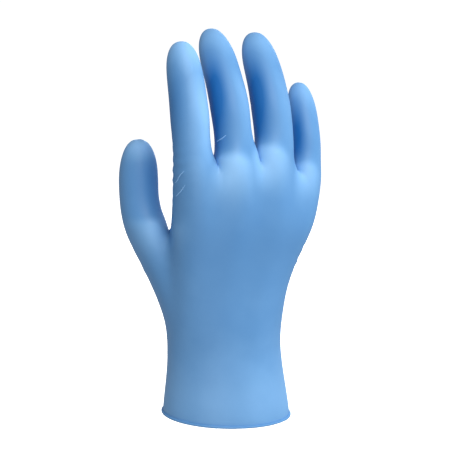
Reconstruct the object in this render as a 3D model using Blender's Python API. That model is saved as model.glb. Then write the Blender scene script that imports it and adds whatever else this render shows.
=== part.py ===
# A nitrile exam glove with the shape that it has on a right hand, hollow from the wrist to each tip.
# The back of the hand faces -Y, the thumb is on the -X side and the fingertips point up.
# The origin is the middle of the wrist opening. Lengths are in metres and angles in degrees.

import math
from collections import namedtuple

import bmesh
import bpy
from mathutils import Matrix, Vector

MM = 0.001

# Film and rolled edge
FILM_WALL = 1.0 * MM
BEAD_DIAMETER = 2.2 * MM

# Sleeve, from the rolled edge up to the wrist
CUFF_WIDTH = 80.0 * MM
CUFF_DEPTH = 59.0 * MM
CUFF_SLANT = 9.0 * MM
WRIST_WIDTH = 70.5 * MM
WRIST_DEPTH = 50.0 * MM
WRIST_SHIFT = -1.8 * MM
SLEEVE_LENGTH = 46.0 * MM

# Hand, from the wrist up to the webs between the fingers
PALM_LENGTH = 107.0 * MM
PALM_DEPTH = 32.0 * MM
PALM_SHIFT = 9.2 * MM
WRIST_EXTENSION = 10.0
HEEL_BULGE = 4.0 * MM
THENAR_BULGE = 9.0 * MM
KNUCKLE_RISE = 3.6 * MM
KNUCKLE_DROP = 2.0 * MM
WEB_GAP = 2.2 * MM
WEB_SLOPE = 4.0 * MM
WEB_SET_BACK = 3.0 * MM

# Thumb
THUMB_LENGTH = 83.0 * MM
THUMB_WIDTH = 23.5 * MM
THUMB_DEPTH = 22.0 * MM
THUMB_SPREAD = 22.0
THUMB_TURN = 30.0
THUMB_LEAN = 27.0

# Sizes of each finger, how far its web sits above the palm's end and its middle behind the others,
# its splay towards the little finger's side, and the bends of its three joints.
Finger = namedtuple("Finger", "length width depth web_height arch splay knuckle middle end")
FINGERS = [
    Finger(73 * MM, 23.2 * MM, 20.5 * MM, 0 * MM, 1.0 * MM, -0.4, 17, 8, 5),
    Finger(84 * MM, 23.6 * MM, 21.0 * MM, 2 * MM, 0.0 * MM, 0.0, 24, 17, 9),
    Finger(82 * MM, 24.4 * MM, 21.2 * MM, 0 * MM, 2.0 * MM, 2.0, 24, 16, 9),
    Finger(61 * MM, 18.6 * MM, 17.5 * MM, -14 * MM, 6.0 * MM, 6.0, 22, 12, 8),
]

# Sections of a finger from its web to its tip, as shares of its length, width, depth and bends.
FingerSection = namedtuple("FingerSection", "along width depth knuckle middle end")
FINGER_SECTIONS = [
    FingerSection(0.10, 0.97, 1.03, 0.5, 0.0, 0.0),
    FingerSection(0.24, 0.96, 0.93, 0.0, 0.3, 0.0),
    FingerSection(0.38, 1.00, 1.00, 0.0, 0.4, 0.0),
    FingerSection(0.52, 0.96, 0.95, 0.0, 0.3, 0.2),
    FingerSection(0.66, 0.94, 0.93, 0.0, 0.0, 0.5),
    FingerSection(0.80, 0.90, 0.86, 0.0, 0.0, 0.3),
    FingerSection(0.91, 0.74, 0.70, 0.0, 0.0, 0.0),
    FingerSection(0.985, 0.42, 0.40, 0.0, 0.0, 0.0),
]

# Sections of the thumb from the palm to its tip, as shares of its length, width, depth and turn.
ThumbSection = namedtuple("ThumbSection", "along width depth turn")
THUMB_SECTIONS = [
    ThumbSection(0.32, 1.08, 1.16, 0.26),
    ThumbSection(0.42, 1.05, 1.10, 0.24),
    ThumbSection(0.51, 1.02, 1.04, 0.25),
    ThumbSection(0.60, 1.00, 1.00, 0.15),
    ThumbSection(0.72, 1.02, 0.98, 0.10),
    ThumbSection(0.83, 0.96, 0.90, 0.0),
    ThumbSection(0.93, 0.76, 0.70, 0.0),
    ThumbSection(0.99, 0.42, 0.40, 0.0),
]

# Sections of the sleeve: share of its height, and of the way from the cuff's size to the wrist's.
SleeveSection = namedtuple("SleeveSection", "height narrowing")
SLEEVE_SECTIONS = [
    SleeveSection(0.04, 0.04),
    SleeveSection(0.16, 0.16),
    SleeveSection(0.42, 0.55),
    SleeveSection(0.75, 0.92),
]

# Sections of the hand below the webs: share of its length, of the way from the wrist's width and
# depth to the knuckles', of the way from even spacing round it to one that suits the fingers, of
# the palm's bulge at its heel, and the power of the oval, 2 for a plain ellipse.
PalmSection = namedtuple("PalmSection", "height spread flatness fan heel power")
PALM_SECTIONS = [
    PalmSection(0.00, 0.00, 0.00, 0.0, 0.0, 2.0),
    PalmSection(0.15, 0.02, 0.30, 0.1, 0.7, 2.1),
    PalmSection(0.37, 0.12, 0.75, 0.3, 1.0, 2.2),
    PalmSection(0.60, 0.55, 0.95, 0.6, 0.4, 2.3),
    PalmSection(0.77, 0.82, 1.00, 0.9, 0.0, 2.5),
]

# Numbers of corners round each section, and where the thumb grows: from the middle one of the
# palm's sections, at the last corner before its thumb edge. Then come how far each tip closes past
# a finger's length, as a share of it, and how far the hand's edge corners stand from its edge
# towards the outer fingers' middles.
FINGER_SIDES = 8
PALM_SIDES = 20
BEAD_SIDES = 12
THUMB_ROOT_SECTION = len(PALM_SECTIONS) // 2
THUMB_ROOT_SIDE = PALM_SIDES - 1
TIP_REACH = 1.01
ROOT_SPREAD = 0.3
ROUNDING_LEVELS = 1

NITRILE_COLOUR = (0.13, 0.36, 0.74, 1.0)
NITRILE_ROUGHNESS = 0.42


def swell(sides):
    """Rounding pulls a ring of corners inwards, so they start this much further out."""
    return 3 / (2 + math.cos(math.tau / sides))


def lerp(start, end, share):
    return start + (end - start) * share


def turn(degrees, axis):
    return Matrix.Rotation(math.radians(degrees), 4, axis)


def rise(distance):
    return Matrix.Translation((0, 0, distance))


def palm_frame():
    """X to the little finger, -Y out of the back of the hand, Z to the fingers, from the wrist."""
    return Matrix.Translation((WRIST_SHIFT, 0, SLEEVE_LENGTH)) @ turn(WRIST_EXTENSION, "X")


def finger_centres():
    edge = PALM_SHIFT - (sum(f.width for f in FINGERS) + WEB_GAP * (len(FINGERS) - 1)) / 2
    centres = []
    for finger in FINGERS:
        centres.append(edge + finger.width / 2)
        edge += finger.width + WEB_GAP
    return centres


def finger_frame(finger, centre):
    place = Matrix.Translation((centre, finger.arch, PALM_LENGTH + finger.web_height))
    return palm_frame() @ place @ turn(finger.splay, "Y") @ turn(-finger.knuckle / 2, "X")


def finger_ring(frame, width, depth):
    """Eight corners round a finger, from its thumb side by way of its back."""
    ring = []
    for step in range(FINGER_SIDES):
        angle = math.pi + step * math.tau / FINGER_SIDES
        corner = Vector((math.cos(angle) * width / 2, math.sin(angle) * depth / 2, 0))
        ring.append(frame @ (corner * swell(FINGER_SIDES)))
    return ring


def palm_ring(height, centre, width, depth, shares, power):
    """Twenty corners round the hand, from the thumb side by way of the back of the hand."""
    ring = []
    for step, share in enumerate(shares):
        across = share * width / 2 * swell(PALM_SIDES)
        deep = (1 - abs(share) ** power) ** (1 / power) * depth / 2 * swell(PALM_SIDES)
        ring.append(Vector((centre + across, -deep if step < PALM_SIDES / 2 else deep, height)))
    return ring


def even_shares():
    shares = [-math.cos(step * math.tau / PALM_SIDES) for step in range(PALM_SIDES)]
    return [max(-1.0, min(1.0, share)) for share in shares]


def knuckle_reach():
    """Middle and width of the row of knuckles."""
    centres = finger_centres()
    left = centres[0] - FINGERS[0].width / 2
    right = centres[-1] + FINGERS[-1].width / 2
    return (left + right) / 2, right - left


def knuckle_shares():
    """Corners at each finger's middle, at each web and at both edges, as shares from -1 to 1."""
    middle, width = knuckle_reach()
    centres = finger_centres()
    marks = [lerp(middle - width / 2, centres[0], ROOT_SPREAD)]
    for finger, centre in zip(FINGERS, centres):
        marks += [centre, centre + (finger.width + WEB_GAP) / 2]
    marks[-1] = lerp(middle + width / 2, centres[-1], ROOT_SPREAD)
    across = [(mark - middle) / (width / 2) for mark in marks]
    return [-1.0] + across + [1.0] + across[::-1]


def web_rises():
    """How far the hand's end stands above the palm's length at each corner round it."""
    heights = [finger.web_height for finger in FINGERS]
    first, last = heights[0], heights[-1]
    rises = []
    for height, after in zip(heights, heights[1:] + [last]):
        rises += [height, (height + after) / 2]
    return [first, first, *rises, last, *rises[::-1], first]


def sleeve_rings():
    rings = []
    for section in SLEEVE_SECTIONS:
        width = lerp(CUFF_WIDTH, WRIST_WIDTH, section.narrowing)
        depth = lerp(CUFF_DEPTH, WRIST_DEPTH, section.narrowing)
        ring = palm_ring(section.height * SLEEVE_LENGTH, 0, width, depth, even_shares(), 2.0)
        for corner in ring:
            corner.z -= CUFF_SLANT * corner.x / CUFF_WIDTH * (1 - section.height) ** 2
            corner.x += WRIST_SHIFT * section.height
        rings.append(ring)
    return rings


def palm_rings():
    middle, knuckle_width = knuckle_reach()
    rings = []
    for section in PALM_SECTIONS:
        width = lerp(WRIST_WIDTH, knuckle_width, section.spread)
        depth = lerp(WRIST_DEPTH, PALM_DEPTH, section.flatness)
        shares = [lerp(*pair, section.fan) for pair in zip(even_shares(), knuckle_shares())]
        ring = palm_ring(0, middle * section.spread, width, depth, shares, section.power)
        for corner, above in zip(ring, web_rises()):
            corner.z = section.height * (PALM_LENGTH + section.fan * above)
        for knuckle in range(2, PALM_SIDES // 2, 2):
            ring[knuckle].y -= KNUCKLE_RISE * section.fan
        for side in range(PALM_SIDES // 2 + 1, PALM_SIDES):
            ring[side].y += section.heel * (HEEL_BULGE + THENAR_BULGE * max(0, -shares[side]))
        rings.append([palm_frame() @ corner for corner in ring])
    return rings


def finger_roots(bases):
    """The ring round all four fingers at their webs, and the corner in the middle of each web.

    A web slopes from the back of the hand up to its middle, which is set back to the palm's side.
    """
    axes = palm_frame().to_3x3()
    down = axes @ Vector((0, 0, -1))
    palmar = axes @ Vector((0, 1, 0))
    back = [bases[0][1]]
    front = [bases[0][7]]
    webs = []
    for i, base in enumerate(bases):
        back.append(base[2] + down * KNUCKLE_DROP - palmar * KNUCKLE_RISE)
        front.append(base[6])
        if i + 1 < len(bases):
            after = bases[i + 1]
            back.append((base[3] + after[1]) / 2 + down * WEB_SLOPE + palmar * WEB_SET_BACK / 2)
            front.append((base[5] + after[7]) / 2)
            webs.append((base[4] + after[0]) / 2 + palmar * WEB_SET_BACK)
    back.append(bases[-1][3])
    front.append(bases[-1][5])
    return [bases[0][0]] + back + [bases[-1][4]] + front[::-1], webs


def bridge(bm, lower, upper, skipped=()):
    for side, corner in enumerate(lower):
        if side not in skipped:
            after = (side + 1) % len(lower)
            bm.faces.new((corner, lower[after], upper[after], upper[side]))


def grow(bm, root, frame, size, sections, half_bends):
    """A finger or the thumb, from its root to a closed tip."""
    length, width, depth = size
    ring = root
    reached = 0
    for section, half_bend in zip(sections, half_bends):
        frame = frame @ rise((section.along - reached) * length) @ half_bend
        corners = finger_ring(frame, width * section.width, depth * section.depth)
        frame = frame @ half_bend
        reached = section.along
        upper = [bm.verts.new(corner) for corner in corners]
        bridge(bm, ring, upper)
        ring = upper
    tip = bm.verts.new(frame @ Vector((0, 0, (TIP_REACH - reached) * length)))
    for side in range(0, FINGER_SIDES, 2):
        bm.faces.new((ring[side], ring[side + 1], ring[(side + 2) % FINGER_SIDES], tip))


def grow_fingers(bm, top, webs, frames):
    last = len(FINGERS) - 1
    for i, finger in enumerate(FINGERS):
        left = webs[i - 1] if i else top[0]
        right = webs[i] if i < last else top[PALM_SIDES // 2]
        back = top[1 + 2 * i:4 + 2 * i]
        front = top[PALM_SIDES - 3 - 2 * i:PALM_SIDES - 2 * i]
        bends = []
        for section in FINGER_SECTIONS:
            bend = (section.knuckle * finger.knuckle + section.middle * finger.middle
                    + section.end * finger.end)
            bends.append(turn(-bend / 2, "X"))
        size = (finger.length, finger.width, finger.depth)
        grow(bm, [left, *back, right, *front], frames[i], size, FINGER_SECTIONS, bends)


def grow_thumb(bm, low, middle, high):
    """The thumb stands on the hole that is left in three rings, at the palm's thumb edge."""
    side = THUMB_ROOT_SIDE
    back = (side + 1) % PALM_SIDES
    root = [low[side], low[back], middle[back], high[back],
            high[side], high[side - 1], middle[side - 1], low[side - 1]]
    centre = sum((corner.co for corner in root), Vector()) / len(root)
    frame = (Matrix.Translation(centre) @ turn(WRIST_EXTENSION - THUMB_LEAN, "X")
             @ turn(-THUMB_SPREAD, "Y"))
    bends = [turn(section.turn * THUMB_TURN / 2, "Y") for section in THUMB_SECTIONS]
    grow(bm, root, frame, (THUMB_LENGTH, THUMB_WIDTH, THUMB_DEPTH), THUMB_SECTIONS, bends)
    bm.verts.remove(middle[side])


def outer_skin(bm):
    rings = [[bm.verts.new(corner) for corner in ring] for ring in sleeve_rings() + palm_rings()]
    frames = [finger_frame(finger, centre) for finger, centre in zip(FINGERS, finger_centres())]
    bases = [finger_ring(frame, f.width, f.depth) for frame, f in zip(frames, FINGERS)]
    top, webs = ([bm.verts.new(corner) for corner in part] for part in finger_roots(bases))
    rings.append(top)

    root = len(SLEEVE_SECTIONS) + THUMB_ROOT_SECTION
    hole = (THUMB_ROOT_SIDE - 1, THUMB_ROOT_SIDE)
    for number, (lower, upper) in enumerate(zip(rings, rings[1:])):
        bridge(bm, lower, upper, hole if number in (root - 1, root) else ())
    grow_fingers(bm, top, webs, frames)
    grow_thumb(bm, *rings[root - 1:root + 2])


def rounded(bm):
    """The same skin, smoothed by subdivision."""
    skin = bpy.data.objects.new("skin", bpy.data.meshes.new("skin"))
    bm.to_mesh(skin.data)
    bpy.context.scene.collection.objects.link(skin)
    rounding = skin.modifiers.new("rounding", "SUBSURF")
    rounding.levels = ROUNDING_LEVELS
    rounding.render_levels = ROUNDING_LEVELS
    bm.clear()
    bm.from_object(skin, bpy.context.evaluated_depsgraph_get())
    bpy.data.objects.remove(skin)


def inner_skin(bm):
    """The outer skin again, one wall further in and facing the other way."""
    bm.normal_update()
    faces = list(bm.faces)
    inner = {}
    for corner in list(bm.verts):
        inner[corner] = bm.verts.new(corner.co - corner.normal * FILM_WALL)
    for face in faces:
        bm.faces.new([inner[corner] for corner in reversed(face.verts)])
    return inner


def rolled_edge(bm, outer, inner):
    """A round bead below the film, flush with it inside and standing out from it outside.

    The film joins the quarter of the bead that faces up and inwards.
    """
    radius = BEAD_DIAMETER / 2
    rings = [inner]
    for step in range(BEAD_SIDES * 3 // 4):
        angle = math.pi + step * math.tau / BEAD_SIDES
        ring = []
        for side, corner in enumerate(outer):
            along = outer[(side + 1) % len(outer)].co - outer[side - 1].co
            outwards = along.cross(Vector((0, 0, 1))).normalized()
            middle = corner.co + outwards * (radius - FILM_WALL) - Vector((0, 0, radius))
            reach = outwards * math.cos(angle) + Vector((0, 0, math.sin(angle)))
            ring.append(bm.verts.new(middle + reach * radius))
        rings.append(ring)
    rings.append(outer)
    for upper, lower in zip(rings, rings[1:]):
        bridge(bm, upper, lower)


def nitrile():
    material = bpy.data.materials.new("nitrile_blue")
    material.use_nodes = True
    shader = material.node_tree.nodes["Principled BSDF"]
    shader.inputs["Base Color"].default_value = NITRILE_COLOUR
    shader.inputs["Roughness"].default_value = NITRILE_ROUGHNESS
    shader.inputs["Metallic"].default_value = 0.0
    return material


def build_glove():
    bm = bmesh.new()
    outer_skin(bm)
    rounded(bm)
    rim = [corner for corner in bm.verts if corner.is_boundary]
    rim.sort(key=lambda corner: math.atan2(corner.co.y, corner.co.x))
    inner = inner_skin(bm)
    rolled_edge(bm, rim, [inner[corner] for corner in rim])
    mesh = bpy.data.meshes.new("nitrile_glove")
    bm.to_mesh(mesh)
    bm.free()
    mesh.shade_smooth()
    mesh.materials.append(nitrile())
    glove = bpy.data.objects.new("nitrile_glove", mesh)
    bpy.context.scene.collection.objects.link(glove)


def main():
    for obj in list(bpy.data.objects):
        bpy.data.objects.remove(obj)
    build_glove()


if __name__ == "__main__":
    main()
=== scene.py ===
import math
from collections import namedtuple

import bmesh
import bpy
import numpy as np
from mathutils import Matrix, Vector, noise


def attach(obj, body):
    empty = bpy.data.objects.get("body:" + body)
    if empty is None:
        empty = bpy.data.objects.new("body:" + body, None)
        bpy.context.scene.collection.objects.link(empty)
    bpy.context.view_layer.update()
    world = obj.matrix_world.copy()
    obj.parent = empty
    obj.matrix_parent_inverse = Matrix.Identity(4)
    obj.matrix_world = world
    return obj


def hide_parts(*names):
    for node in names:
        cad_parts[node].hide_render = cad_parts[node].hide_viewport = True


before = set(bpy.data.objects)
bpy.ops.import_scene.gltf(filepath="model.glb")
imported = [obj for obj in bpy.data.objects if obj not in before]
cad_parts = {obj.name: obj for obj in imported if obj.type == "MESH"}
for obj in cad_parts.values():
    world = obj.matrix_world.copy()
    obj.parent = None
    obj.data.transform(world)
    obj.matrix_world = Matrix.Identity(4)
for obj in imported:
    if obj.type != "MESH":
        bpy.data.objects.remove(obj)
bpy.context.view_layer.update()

mm = 0.001
print("frame loaded")


def place(name, data):
    obj = bpy.data.objects.new(name, data)
    bpy.context.scene.collection.objects.link(obj)
    return obj


def evaluatedMesh(obj):
    return bpy.data.meshes.new_from_object(
        obj.evaluated_get(bpy.context.evaluated_depsgraph_get()))


def toMesh(name, bm):
    mesh = bpy.data.meshes.new(name)
    bm.to_mesh(mesh)
    bm.free()
    mesh.shade_smooth()
    return mesh


# The film, from a copy of the solid's outer skin

film = {
    "rimHeight": 2.7 * mm,       # where the rolled edge starts, above the origin
    "rimSlope": -0.1037,         # the rim falls towards the little finger's side
    "tuck": 2.2 * mm,            # how far the film goes on down into the roll
    "thickness": 0.35 * mm,
    "levels": 2,                 # rounds of subdivision
    "merge": 1e-6,               # points closer than this are one
    "flowAngle": math.pi,        # how far from flat and square a joined face may be: any
    "evenness": 2.0,             # how much it follows the faces beside it
}


def aboveRim(point):
    return point.z - film["rimSlope"] * point.x - film["rimHeight"]


def outerSkin(node):
    bm = bmesh.new()
    bm.from_mesh(node.data)
    bmesh.ops.remove_doubles(bm, verts=bm.verts, dist=film["merge"])
    bmesh.ops.join_triangles(bm, faces=bm.faces, angle_face_threshold=film["flowAngle"],
                             angle_shape_threshold=film["flowAngle"],
                             topology_influence=film["evenness"])
    bead = [face for face in bm.faces if aboveRim(face.calc_center_median()) < 0]
    bmesh.ops.delete(bm, geom=bead, context="FACES")
    # an outer and an inner skin are left: keep the one that reaches further out
    reached = set()
    stack = [max(bm.verts, key=lambda vert: vert.co.x)]
    while stack:
        vert = stack.pop()
        if vert not in reached:
            reached.add(vert)
            stack += [edge.other_vert(vert) for edge in vert.link_edges]
    inner = [vert for vert in bm.verts if vert not in reached]
    bmesh.ops.delete(bm, geom=inner, context="VERTS")
    rim = [edge for edge in bm.edges if edge.is_boundary]
    lower = bmesh.ops.extrude_edge_only(bm, edges=rim)["geom"]
    for vert in lower:
        if isinstance(vert, bmesh.types.BMVert):
            vert.co.z -= film["tuck"]
    bmesh.ops.recalc_face_normals(bm, faces=bm.faces)
    return toMesh("outerSkin", bm)


def subdivided(mesh, levels):
    obj = place("subdividing", mesh)
    modifier = obj.modifiers.new("finer", "SUBSURF")
    modifier.levels = levels
    modifier.render_levels = levels
    finer = evaluatedMesh(obj)
    bpy.data.objects.remove(obj)
    return finer


skin = subdivided(outerSkin(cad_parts["nitrile_glove"]), film["levels"])
print("film skin", len(skin.polygons), "faces")


# Small forms of the stretched film, and patches of painted highlight and painted shade on it, in
# millimetres

# A dome over a knuckle: the middle of its top, how far its edge drops towards its sides, its reach
# to each side, up to its edge and down the glove, and its height.
Dome = namedtuple("Dome", "x z drop side up down height")
domes = [
    Dome(-10.0, 157.0, 4.0, 10.5, 6.5, 17.0, 3.0),
    Dome(13.5, 160.0, 4.0, 10.5, 6.5, 17.0, 3.0),
    Dome(41.0, 148.0, 3.0, 8.0, 6.0, 14.0, 2.2),
    Dome(-29.0, 158.0, 0.0, 8.0, 9.0, 20.0, 0.6),
    Dome(-47.0, 118.0, 0.0, 8.5, 5.0, 14.0, 1.8),
]
# A rise of the film at the foot of each gap between two fingers, and how it is eased there.
webs = [
    Dome(-17.0, 149.0, 0.0, 5.0, 5.0, 12.0, 1.3),
    Dome(8.8, 150.5, 0.0, 5.0, 5.0, 12.0, 1.3),
    Dome(35.4, 141.0, 0.0, 5.0, 5.0, 12.0, 1.1),
]
webEase = {"reach": 7.5, "rounds": 14, "factor": 0.5}
# A patch of painted highlight, or of painted shade where its share is below nothing: its middle,
# its reach across and along the glove, the way that its skin faces (left -1, right 1, any 0) and
# its share.
Patch = namedtuple("Patch", "x y z across tall facing share")
patches = [
    Patch(-45.0, 19.0, 163.0, 10.0, 9.0, 0, 1.0),
    Patch(-28.0, -6.0, 217.0, 13.0, 17.0, 0, 0.75),
    Patch(-5.0, 7.0, 224.0, 13.0, 14.0, 0, 0.35),
    Patch(23.0, 7.0, 220.0, 13.0, 14.0, 0, 0.30),
    Patch(50.0, 3.0, 191.0, 11.0, 12.0, 0, 0.35),
    Patch(-24.5, -20.0, 180.0, 8.5, 30.0, 0, 0.70),
    Patch(-1.0, -17.0, 184.0, 7.0, 30.0, 1, 0.60),
    Patch(25.0, -14.0, 184.0, 7.0, 30.0, 1, 0.45),
    Patch(0.0, 0.0, 14.0, 70.0, 26.0, 0, 0.35),
    Patch(-13.0, -12.0, 180.0, 11.0, 44.0, -1, -1.5),
    Patch(13.0, -10.0, 182.0, 11.0, 44.0, -1, -1.4),
    Patch(38.0, -8.0, 168.0, 9.0, 28.0, -1, -1.2),
    Patch(-37.0, -12.0, 176.0, 9.0, 34.0, -1, -0.9),
    Patch(-40.0, 10.0, 144.0, 14.0, 18.0, 0, -0.35),
    Patch(5.0, -20.0, 112.0, 34.0, 22.0, 0, -0.12),
]
# A patch of ripples: its middle, reach, the length of one wave, the waves' direction and height.
Ripple = namedtuple("Ripple", "x y z reach wave across up height")
ripples = [
    Ripple(37.0, -14.0, 98.0, 8.0, 6.5, 0.25, 1.0, 0.42),
    Ripple(-41.5, -11.0, 150.0, 15.0, 6.0, -0.2, 1.0, 0.30),
    Ripple(-44.7, 22.4, 164.0, 4.0, 5.0, 1.0, 0.2, 0.35),
    Ripple(-34.0, 8.0, 96.0, 16.0, 7.5, 0.5, 1.0, 0.30),
    Ripple(6.0, 22.0, 60.0, 22.0, 9.0, -0.15, 1.0, 0.22),
    Ripple(-20.0, 12.0, 126.0, 14.0, 8.0, 0.9, 0.7, 0.26),
]
# A crease on the palm's side: its middle, reach to each side, rise per step across, width, depth.
Crease = namedtuple("Crease", "x z side slope width depth")
creases = [
    Crease(-29.0, 158.0, 9.0, 0.05, 1.7, 0.60),
    Crease(-29.0, 182.0, 8.0, 0.00, 1.5, 0.55),
    Crease(-4.0, 160.0, 9.0, 0.00, 1.7, 0.60),
    Crease(-4.0, 187.0, 8.0, 0.04, 1.5, 0.55),
    Crease(21.0, 158.0, 9.0, -0.05, 1.7, 0.60),
    Crease(22.0, 184.0, 8.0, 0.00, 1.5, 0.55),
    Crease(45.0, 144.0, 7.0, -0.10, 1.5, 0.50),
    Crease(47.0, 163.0, 6.0, -0.05, 1.4, 0.45),
    Crease(14.0, 131.0, 26.0, -0.18, 2.2, 0.70),
    Crease(-4.0, 112.0, 22.0, 0.42, 2.2, 0.65),
    Crease(-6.0, 47.0, 26.0, 0.06, 2.0, 0.45),
    Crease(-4.0, 41.0, 22.0, -0.05, 1.8, 0.35),
]
forms = {
    "back": (1.4, 0.35),         # what is left over of a form as the skin turns away from the
    "palm": (1.6, 0.10),         # side that it is on: how fast it goes, and the share edge on
    # side: the same for a patch of painted highlight or painted shade, as its skin turns from the
    # way it faces
    "side": (1.3, 0.10),
    "dip": 0.22,                 # the hollow beyond a dome's upper edge, as a share of its height
    "dipPlace": 2.4,             # its middle and its width, as shares of the dome's reach up
    "dipWidth": 1.4,
    "tightAndHighlightReach": 0.8,           # how far up the tight film and its painted highlight go, as a share of that reach
    "rippleSway": 0.13,          # how far a ripple wanders, in waves, and how fast it does
    "rippleAcross": 0.31,
    "rippleDeep": 0.23,
    "creaseSway": 0.8,           # how far a crease wanders, and how fast
    "creaseRate": 0.24,
    "shoulder": 0.45,            # the rise beside a crease, as a share of its depth
    "shoulderWidth": 2.4,        # and of its width
    "uneven": 0.14,              # height and size of the film's general unevenness
    "unevenSize": 17.0,
    "calmFrom": 4.0,             # where above the rim's middle the forms begin, and over how much
    "calmOver": 8.0,
}


def bell(distance):
    return np.exp(-distance ** 2)


def upDown(above, up, down):
    return bell(above / np.where(above > 0, up, down))


def leftOver(facing, side):
    slope, level = forms[side]
    return np.clip(facing * slope + level, 0, 1)


def smallForms(mesh):
    # moves the skin along its normals, marks tight film, paler partly for its stretch and partly
    # as a painted highlight, and marks painted shade
    count = len(mesh.vertices)
    places = np.empty(count * 3)
    mesh.vertices.foreach_get("co", places)
    places = places.reshape(-1, 3)
    normals = np.array([vert.normal for vert in mesh.vertices])
    x, y, z = (places / mm).T
    back = leftOver(-normals[:, 1], "back")
    palm = leftOver(normals[:, 1], "palm")
    lift = np.zeros(count)
    # tight marks: partly stretched film, partly painted highlight; the slack marks are painted
    # shade
    paintedLightAndStretch = np.zeros(count)
    paintedShade = np.zeros(count)
    for dome in domes:
        aside = (x - dome.x) / dome.side
        above = z - dome.z + dome.drop * aside ** 2
        share = bell(aside) * upDown(above, dome.up, dome.down) * back
        beyond = (above - forms["dipPlace"] * dome.up) / dome.up / forms["dipWidth"]
        dip = bell(aside) * bell(beyond) * back
        lift += dome.height * (share - forms["dip"] * dip)
        # the dome's top is painted paler: partly the thinner stretched film, partly a painted
        # highlight where the light falls
        tightAndHighlight = bell(aside) * upDown(above, dome.up * forms["tightAndHighlightReach"], dome.down) * back
        paintedLightAndStretch = np.maximum(paintedLightAndStretch, tightAndHighlight * dome.height / domes[0].height)
    # patches of painted highlight on the fingertips, the index, the fingers' right sides and the
    # cuff, and of painted shade on the fingers' left sides, the thumb and the back of the hand
    for patch in patches:
        away = np.hypot(x - patch.x, y - patch.y) / patch.across
        share = patch.share * bell(np.hypot(away, (z - patch.z) / patch.tall))
        # only on skin that faces one way: painted shade on the left sides, painted highlight on
        # the right
        if patch.facing:
            share *= leftOver(normals[:, 0] * patch.facing, "side")
        paintedLightAndStretch = np.maximum(paintedLightAndStretch, share)
        paintedShade = np.minimum(paintedShade, share)
    for web in webs:
        aside = (x - web.x) / web.side
        lift += web.height * bell(aside) * upDown(z - web.z, web.up, web.down) * back
    for ripple in ripples:
        away = np.sqrt((x - ripple.x) ** 2 + (y - ripple.y) ** 2 + (z - ripple.z) ** 2)
        steps = ((x - ripple.x) * ripple.across + (z - ripple.z) * ripple.up) / ripple.wave
        sway = np.sin(x * forms["rippleAcross"] + y * forms["rippleDeep"])
        wave = np.sin(math.tau * (steps + forms["rippleSway"] * sway))
        lift += ripple.height * wave * bell(away / ripple.reach)
    for crease in creases:
        off = z - crease.z - crease.slope * (x - crease.x)
        off += forms["creaseSway"] * np.sin((x - crease.x) * forms["creaseRate"])
        off /= crease.width
        share = bell((x - crease.x) / crease.side) * palm
        rise = forms["shoulder"] * bell(off / forms["shoulderWidth"])
        lift -= crease.depth * share * (bell(off) - rise)
    for i in range(count):
        soft = noise.noise(Vector(places[i]) / (forms["unevenSize"] * mm))
        lift[i] += forms["uneven"] * soft
    overRim = z - film["rimSlope"] * x
    calm = np.clip((overRim - forms["calmFrom"]) / forms["calmOver"], 0, 1)
    places += normals * (lift * calm * mm)[:, None]
    mesh.vertices.foreach_set("co", places.ravel())
    # one share for the colour: painted highlight and tight film above nothing, painted shade below
    marks = mesh.attributes.new("paintedLightAndStretch", "FLOAT", "POINT")
    marks.data.foreach_set("value", paintedLightAndStretch + paintedShade)
    mesh.update()


smallForms(skin)


def easeWebs(mesh):
    # takes the sharpness out of the film at the foot of each gap between the fingers
    bm = bmesh.new()
    bm.from_mesh(mesh)
    for web in webs:
        near = [vert for vert in bm.verts if webEase["reach"] >
                math.hypot(vert.co.x / mm - web.x, vert.co.z / mm - web.z)]
        for _ in range(webEase["rounds"]):
            bmesh.ops.smooth_vert(bm, verts=near, factor=webEase["factor"],
                                  use_axis_x=True, use_axis_y=True, use_axis_z=True)
    bm.to_mesh(mesh)
    bm.free()
    mesh.shade_smooth()


easeWebs(skin)
print("small forms")


def rimLoop(mesh):
    # the lowest edge of the film, in order round the opening: from the little finger's side,
    # over the back of the glove first
    bm = bmesh.new()
    bm.from_mesh(mesh)
    rim = {vert for edge in bm.edges if edge.is_boundary for vert in edge.verts}
    vert = max(rim, key=lambda vert: vert.co.x)
    edge = min((edge for edge in vert.link_edges if edge.is_boundary),
               key=lambda edge: edge.other_vert(vert).co.y)
    loop = []
    while len(loop) < len(rim):
        loop.append(vert.co.copy())
        vert = edge.other_vert(vert)
        edge = next(other for other in vert.link_edges if other.is_boundary and other != edge)
    bm.free()
    return loop


def filmPiece():
    gloveFilm = place("gloveFilm", skin)
    wall = gloveFilm.modifiers.new("wall", "SOLIDIFY")
    wall.thickness = film["thickness"]
    wall.offset = -1
    mesh = evaluatedMesh(gloveFilm)
    gloveFilm.modifiers.clear()
    gloveFilm.data = mesh
    return gloveFilm


gloveFilm = filmPiece()
print("film", len(gloveFilm.data.polygons), "faces")


# Materials

nitrile = {
    # painted shade, the film's own colour, and a paler colour for tight film that is partly a
    # painted highlight
    "paintedShadeFilm": (0.010, 0.135, 0.410, 1.0),
    "plainFilm": (0.104, 0.280, 0.560, 1.0),
    "highlightAndTightFilm": (0.290, 0.560, 0.900, 1.0),
    "cloudSize": 45.0,           # noise scale, per metre
    "cloudDetail": 3.0,
    "cloudShare": 0.03,          # how far the clouds alone move the film towards the darker and the paler colour
    "noiseSpan": (0.3, 0.7),     # where most of a noise's values lie
    "shine": (0.46, 0.56),       # roughness from the smoothest film to the dullest
    "gloss": 0.35,
    "grainSize": 2600.0,
    "grainDetail": 2.0,
    "grainDepth": 0.03 * mm,
    "grainStrength": 0.10,
}


def addNode(tree, kind, **settings):
    node = tree.nodes.new(kind)
    for name, value in settings.items():
        setattr(node, name, value)
    return node


def addNoise(tree, size, detail):
    node = addNode(tree, "ShaderNodeTexNoise")
    node.inputs["Scale"].default_value = size
    node.inputs["Detail"].default_value = detail
    return node


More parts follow.
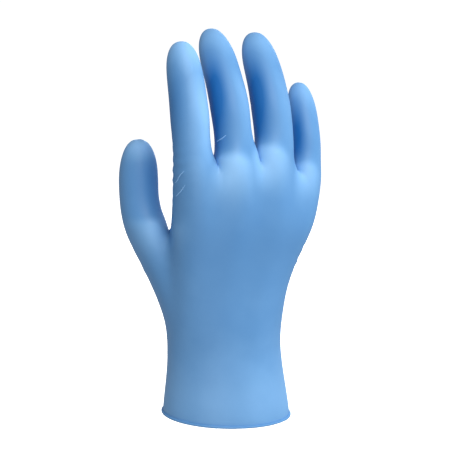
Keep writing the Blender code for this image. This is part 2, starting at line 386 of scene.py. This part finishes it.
def addMapRange(tree, fromSpan, toSpan):
    node = addNode(tree, "ShaderNodeMapRange")
    names = ("From Min", "From Max", "To Min", "To Max")
    for name, value in zip(names, (*fromSpan, *toSpan)):
        node.inputs[name].default_value = value
    return node


def nitrileMaterial():
    material = bpy.data.materials.new("nitrileBlue")
    material.use_nodes = True
    tree = material.node_tree
    links = tree.links
    shader = tree.nodes["Principled BSDF"]
    shader.inputs["Specular IOR Level"].default_value = nitrile["gloss"]
    where = addNode(tree, "ShaderNodeTexCoord")
    # the painted highlight and painted shade marked on the skin
    paintedLightAndStretch = addNode(tree, "ShaderNodeAttribute", attribute_name="paintedLightAndStretch")
    clouds = addNoise(tree, nitrile["cloudSize"], nitrile["cloudDetail"])
    plain = 0.5                  # on the ramp: painted shade at 0, plain film here, tight film and painted highlight at 1
    faint = addMapRange(tree, nitrile["noiseSpan"],
                        (plain - nitrile["cloudShare"], plain + nitrile["cloudShare"]))
    amount = addNode(tree, "ShaderNodeMath", operation="MULTIPLY_ADD")
    amount.inputs[1].default_value = plain
    ramp = addNode(tree, "ShaderNodeValToRGB")
    ramp.color_ramp.elements[0].color = nitrile["paintedShadeFilm"]
    ramp.color_ramp.elements[1].color = nitrile["highlightAndTightFilm"]
    ramp.color_ramp.elements.new(plain).color = nitrile["plainFilm"]
    shine = addMapRange(tree, nitrile["noiseSpan"], nitrile["shine"])
    grain = addNoise(tree, nitrile["grainSize"], nitrile["grainDetail"])
    bump = addNode(tree, "ShaderNodeBump")
    bump.inputs["Strength"].default_value = nitrile["grainStrength"]
    bump.inputs["Distance"].default_value = nitrile["grainDepth"]
    links.new(where.outputs["Object"], clouds.inputs["Vector"])
    links.new(where.outputs["Object"], grain.inputs["Vector"])
    links.new(paintedLightAndStretch.outputs["Fac"], amount.inputs[0])
    links.new(clouds.outputs["Fac"], faint.inputs["Value"])
    links.new(faint.outputs["Result"], amount.inputs[2])
    links.new(amount.outputs[0], ramp.inputs["Fac"])
    links.new(ramp.outputs["Color"], shader.inputs["Base Color"])
    links.new(clouds.outputs["Fac"], shine.inputs["Value"])
    links.new(shine.outputs["Result"], shader.inputs["Roughness"])
    links.new(grain.outputs["Fac"], bump.inputs["Height"])
    links.new(bump.outputs["Normal"], shader.inputs["Normal"])
    return material


blue = nitrileMaterial()
gloveFilm.data.materials.clear()
gloveFilm.data.materials.append(blue)


# Nodes for pieces that follow a path


def newTree(name, sizes):
    # a size whose name begins with a capital is one of the tree's inputs
    tree = bpy.data.node_groups.new(name, "GeometryNodeTree")
    tree.interface.new_socket("Geometry", in_out="INPUT", socket_type="NodeSocketGeometry")
    for size, value in sizes.items():
        if size[0].isupper():
            kind = "NodeSocketInt" if isinstance(value, int) else "NodeSocketFloat"
            tree.interface.new_socket(size, in_out="INPUT", socket_type=kind)
    tree.interface.new_socket("Geometry", in_out="OUTPUT", socket_type="NodeSocketGeometry")
    return tree, addNode(tree, "NodeGroupInput"), addNode(tree, "NodeGroupOutput")


def chain(tree, *nodes):
    # the first output of each node goes into the first input of the next
    for node, following in zip(nodes, nodes[1:]):
        tree.links.new(node.outputs[0], following.inputs[0])


def finishTree(tree, last, result):
    smooth = addNode(tree, "GeometryNodeSetShadeSmooth")
    realize = addNode(tree, "GeometryNodeRealizeInstances")
    paint = addNode(tree, "GeometryNodeSetMaterial")
    paint.inputs["Material"].default_value = blue
    chain(tree, last, smooth, realize, paint, result)


def maths(tree, operation, first, second=None, third=None):
    node = addNode(tree, "ShaderNodeMath", operation=operation)
    for socket, value in zip(node.inputs, (first, second, third)):
        if value is None:
            continue
        if isinstance(value, (int, float)):
            socket.default_value = value
        else:
            tree.links.new(value, socket)
    return node.outputs[0]


def grownMesh(name, source, tree, sizes):
    obj = place(name, source)
    modifier = obj.modifiers.new("nodes", "NODES")
    modifier.node_group = tree
    for item in tree.interface.items_tree:
        if item.in_out == "INPUT" and item.name in sizes:
            modifier[item.identifier] = sizes[item.name]
    mesh = evaluatedMesh(obj)
    obj.modifiers.clear()
    obj.data = mesh
    return obj


def pathMesh(name, paths, closed):
    mesh = bpy.data.meshes.new(name)
    points = []
    edges = []
    for path in paths:
        first = len(points)
        points += path
        edges += [(first + i, first + i + 1) for i in range(len(path) - 1)]
        if closed:
            edges.append((first + len(path) - 1, first))
    mesh.from_pydata(points, edges, [])
    return mesh


# The rolled edge round the opening

rolledEdge = {
    "Radius": 0.95 * mm,
    "Step": 0.24,                # height of the roll's free edge, as a share of its radius
    "Steps along": 420,
    "Steps around": 28,
    "Edge place": 0.30,          # where the free edge lies round the roll, from 0 to 1
    "Sway": 0.16,                # how far it wanders from there
    "Sway place": 0.20,          # and where and over how much of the way round the opening
    "Sway width": 0.10,
    "drop": 0.10 * mm,           # from the film's tucked edge down to the roll's middle
    "out": 0.22 * mm,            # and out from the film
}


def rolledEdgeTree():
    tree, given, result = newTree("rolledEdge", rolledEdge)
    path = addNode(tree, "GeometryNodeMeshToCurve")
    evenPath = addNode(tree, "GeometryNodeResampleCurve")
    upright = addNode(tree, "GeometryNodeSetCurveNormal", mode="Z_UP")
    alongPath = addNode(tree, "GeometryNodeSplineParameter")
    keepPath = addNode(tree, "GeometryNodeCaptureAttribute")
    keepPath.capture_items.new("VECTOR", "Centre")
    keepPath.capture_items.new("FLOAT", "Along")
    where = addNode(tree, "GeometryNodeInputPosition")
    ring = addNode(tree, "GeometryNodeCurvePrimitiveCircle", mode="RADIUS")
    aroundRing = addNode(tree, "GeometryNodeSplineParameter")
    keepRing = addNode(tree, "GeometryNodeCaptureAttribute")
    keepRing.capture_items.new("FLOAT", "Around")
    sweep = addNode(tree, "GeometryNodeCurveToMesh")
    links = tree.links
    chain(tree, given, path, evenPath, upright, keepPath, sweep)
    links.new(given.outputs["Steps along"], evenPath.inputs["Count"])
    links.new(where.outputs["Position"], keepPath.inputs["Centre"])
    links.new(alongPath.outputs["Factor"], keepPath.inputs["Along"])
    links.new(given.outputs["Steps around"], ring.inputs["Resolution"])
    links.new(given.outputs["Radius"], ring.inputs["Radius"])
    chain(tree, ring, keepRing)
    links.new(aroundRing.outputs["Factor"], keepRing.inputs["Around"])
    links.new(keepRing.outputs["Geometry"], sweep.inputs["Profile Curve"])

    # the free edge runs in the crease by the film and wanders out of it once
    offPlace = maths(tree, "SUBTRACT", keepPath.outputs["Along"], given.outputs["Sway place"])
    share = maths(tree, "DIVIDE", offPlace, given.outputs["Sway width"])
    near = maths(tree, "DIVIDE", 1.0, maths(tree, "ADD", 1.0, maths(tree, "POWER", share, 2.0)))
    swayed = maths(tree, "MULTIPLY_ADD", near, given.outputs["Sway"], given.outputs["Edge place"])
    turned = maths(tree, "FRACT", maths(tree, "SUBTRACT", keepRing.outputs["Around"], swayed))
    shrink = maths(tree, "MULTIPLY", maths(tree, "MULTIPLY", turned, given.outputs["Step"]), -1.0)
    away = addNode(tree, "ShaderNodeVectorMath", operation="SUBTRACT")
    inwards = addNode(tree, "ShaderNodeVectorMath", operation="SCALE")
    move = addNode(tree, "GeometryNodeSetPosition")
    links.new(where.outputs["Position"], away.inputs[0])
    links.new(keepPath.outputs["Centre"], away.inputs[1])
    links.new(away.outputs["Vector"], inwards.inputs[0])
    links.new(shrink, inwards.inputs["Scale"])
    links.new(inwards.outputs["Vector"], move.inputs["Offset"])
    chain(tree, sweep, move)
    finishTree(tree, move, result)
    return tree


def rollPath(mesh):
    loop = rimLoop(mesh)
    up = Vector((0, 0, 1))
    path = []
    for i, point in enumerate(loop):
        along = loop[(i + 1) % len(loop)] - loop[i - 1]
        outwards = along.cross(up).normalized()
        if outwards.dot(Vector((point.x, point.y, 0))) < 0:
            outwards.negate()
        path.append(point + outwards * rolledEdge["out"] - up * rolledEdge["drop"])
    return path


beadRoll = grownMesh("beadRoll", pathMesh("rollPath", [rollPath(skin)], True),
                     rolledEdgeTree(), rolledEdge)
print("rolled edge", len(beadRoll.data.polygons), "faces")


# Thin pinched folds of the film

pinchFolds = {
    "Radius": 0.34 * mm,
    "Sink": 0.04 * mm,           # how deep a fold's middle line lies in the film
    "Tightness": 0.7,            # a painted highlight along it: its film's place between plain, 0, and tight, 1
    "Steps along": 36,
    "Steps around": 10,
    "tip": 0.08,                 # thickness at its ends, as a share of that in its middle
    "blunt": 0.5,                # below 1, it stays thick for longer towards its ends
}
# The places that each fold goes through, in millimetres.
foldPaths = [
    [(-42.2, -18.5, 145.0), (-41.0, -22.5, 149.0), (-38.8, -26.0, 153.2)],
    [(-42.0, -18.0, 137.0), (-40.4, -23.0, 141.0), (-38.0, -26.0, 145.0)],
    [(-15.6, -18.0, 166.9), (-14.4, -22.0, 169.2), (-12.4, -24.4, 171.6)],
]


def pinchFoldsTree(onto):
    tree, given, result = newTree("pinchFolds", pinchFolds)
    path = addNode(tree, "GeometryNodeMeshToCurve")
    evenPath = addNode(tree, "GeometryNodeResampleCurve")
    surface = addNode(tree, "GeometryNodeObjectInfo", transform_space="ORIGINAL")
    surface.inputs["Object"].default_value = onto
    nearest = addNode(tree, "GeometryNodeProximity", target_element="FACES")
    facing = addNode(tree, "GeometryNodeSampleNearestSurface", data_type="FLOAT_VECTOR")
    normal = addNode(tree, "GeometryNodeInputNormal")
    depth = addNode(tree, "ShaderNodeVectorMath", operation="SCALE")
    sunk = addNode(tree, "ShaderNodeVectorMath", operation="SUBTRACT")
    settle = addNode(tree, "GeometryNodeSetPosition")
    along = addNode(tree, "GeometryNodeSplineParameter")
    ring = addNode(tree, "GeometryNodeCurvePrimitiveCircle", mode="RADIUS")
    sweep = addNode(tree, "GeometryNodeCurveToMesh")
    sweep.inputs["Fill Caps"].default_value = True
    # the fold's film is painted paler, a painted highlight along its ridge
    tightAndHighlight = addNode(tree, "GeometryNodeStoreNamedAttribute", data_type="FLOAT")
    tightAndHighlight.inputs["Name"].default_value = "paintedLightAndStretch"
    links = tree.links

    # each fold lies on the nearest film, sunk a little into it
    chain(tree, given, path, evenPath, settle, sweep, tightAndHighlight)
    links.new(given.outputs["Steps along"], evenPath.inputs["Count"])
    links.new(surface.outputs["Geometry"], nearest.inputs["Geometry"])
    links.new(surface.outputs["Geometry"], facing.inputs["Mesh"])
    links.new(normal.outputs["Normal"], facing.inputs["Value"])
    links.new(facing.outputs["Value"], depth.inputs[0])
    links.new(given.outputs["Sink"], depth.inputs["Scale"])
    links.new(nearest.outputs["Position"], sunk.inputs[0])
    links.new(depth.outputs["Vector"], sunk.inputs[1])
    links.new(sunk.outputs["Vector"], settle.inputs["Position"])

    # and is thickest in its middle and runs out at both ends
    arc = maths(tree, "SINE", maths(tree, "MULTIPLY", along.outputs["Factor"], math.pi))
    full = maths(tree, "POWER", arc, pinchFolds["blunt"])
    taper = maths(tree, "MULTIPLY_ADD", full, 1 - pinchFolds["tip"], pinchFolds["tip"])
    links.new(given.outputs["Steps around"], ring.inputs["Resolution"])
    links.new(given.outputs["Radius"], ring.inputs["Radius"])
    links.new(ring.outputs["Curve"], sweep.inputs["Profile Curve"])
    links.new(taper, sweep.inputs["Scale"])
    links.new(given.outputs["Tightness"], tightAndHighlight.inputs["Value"])
    finishTree(tree, tightAndHighlight, result)
    return tree


foldLines = [[Vector(point) * mm for point in path] for path in foldPaths]
foldPiece = grownMesh("pinchFolds", pathMesh("foldPaths", foldLines, False),
                      pinchFoldsTree(gloveFilm), pinchFolds)
print("pinched folds", len(foldPiece.data.polygons), "faces")


# Camera, floor and light

view = {
    "azimuth": -25.0,
    "elevation": 12.0,
    "distance": 0.731,
    "aim": Vector((-1.2, 0.0, 114.6)) * mm,
    "lens": 100.0,
    "film": 36.0,
}


def towards(azimuth, elevation):
    a, e = math.radians(azimuth), math.radians(elevation)
    return Vector((math.sin(a) * math.cos(e), -math.cos(a) * math.cos(e), math.sin(e)))


def addCamera():
    data = bpy.data.cameras.new("camera")
    data.lens = view["lens"]
    data.sensor_width = view["film"]
    camera = place("camera", data)
    back = towards(view["azimuth"], view["elevation"])
    camera.location = view["aim"] + back * view["distance"]
    camera.rotation_euler = (-back).to_track_quat("-Z", "Y").to_euler()
    bpy.context.scene.camera = camera


studio = {
    "floorHeight": -120 * mm,
    "floorSize": 30.0,
    "floorColour": (0.93, 0.93, 0.93, 1.0),
    "floorRoughness": 0.9,
    "floorGlow": 0.65,           # keeps the far floor as pale as the near
    "worldColour": (1.0, 1.0, 1.0, 1.0),
    "worldStrength": 0.48,       # its light on the glove
    "worldSeen": 1.0,            # and as the camera sees it, beyond the floor
    "lampDistance": 1.2,
    "lampSize": 0.6,
}
# The way that a lamp's light comes from, in degrees, its power, and whether the gloss shows it.
Lamp = namedtuple("Lamp", "azimuth elevation power gloss")
lamps = {
    "above": Lamp(10.0, 45.0, 9.0, True),
    "right": Lamp(75.0, 20.0, 8.0, False),
    "behind": Lamp(135.0, 20.0, 9.0, False),
    "low": Lamp(-20.0, -10.0, 4.0, True),
}


def addFloor():
    mesh = bpy.data.meshes.new("floor")
    half = studio["floorSize"] / 2
    z = studio["floorHeight"]
    corners = [(-half, -half, z), (half, -half, z), (half, half, z), (-half, half, z)]
    mesh.from_pydata(corners, [], [(0, 1, 2, 3)])
    floor = place("floor", mesh)
    pale = bpy.data.materials.new("paleFloor")
    pale.use_nodes = True
    shader = pale.node_tree.nodes["Principled BSDF"]
    shader.inputs["Base Color"].default_value = studio["floorColour"]
    shader.inputs["Roughness"].default_value = studio["floorRoughness"]
    shader.inputs["Emission Color"].default_value = studio["floorColour"]
    shader.inputs["Emission Strength"].default_value = studio["floorGlow"]
    mesh.materials.append(pale)
    floor.visible_diffuse = False
    floor.visible_glossy = False


def addWorld():
    world = bpy.data.worlds.new("studio")
    world.use_nodes = True
    tree = world.node_tree
    background = tree.nodes["Background"]
    background.inputs["Color"].default_value = studio["worldColour"]
    rays = addNode(tree, "ShaderNodeLightPath")
    glow = addMapRange(tree, (0.0, 1.0), (studio["worldStrength"], studio["worldSeen"]))
    tree.links.new(rays.outputs["Is Camera Ray"], glow.inputs["Value"])
    tree.links.new(glow.outputs["Result"], background.inputs["Strength"])
    bpy.context.scene.world = world


def addLamps():
    for name, lamp in lamps.items():
        data = bpy.data.lights.new(name, "AREA")
        data.size = studio["lampSize"]
        data.energy = lamp.power
        light = place(name, data)
        away = towards(lamp.azimuth, lamp.elevation)
        light.visible_glossy = lamp.gloss
        light.location = view["aim"] + away * studio["lampDistance"]
        light.rotation_euler = (-away).to_track_quat("-Z", "Y").to_euler()


addCamera()
addFloor()
addWorld()
addLamps()
bpy.context.scene.view_settings.view_transform = "Standard"
print("camera, floor and lamps")


# The pieces and the frame

for piece in (gloveFilm, beadRoll, foldPiece):
    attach(piece, "root")
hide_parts("nitrile_glove")
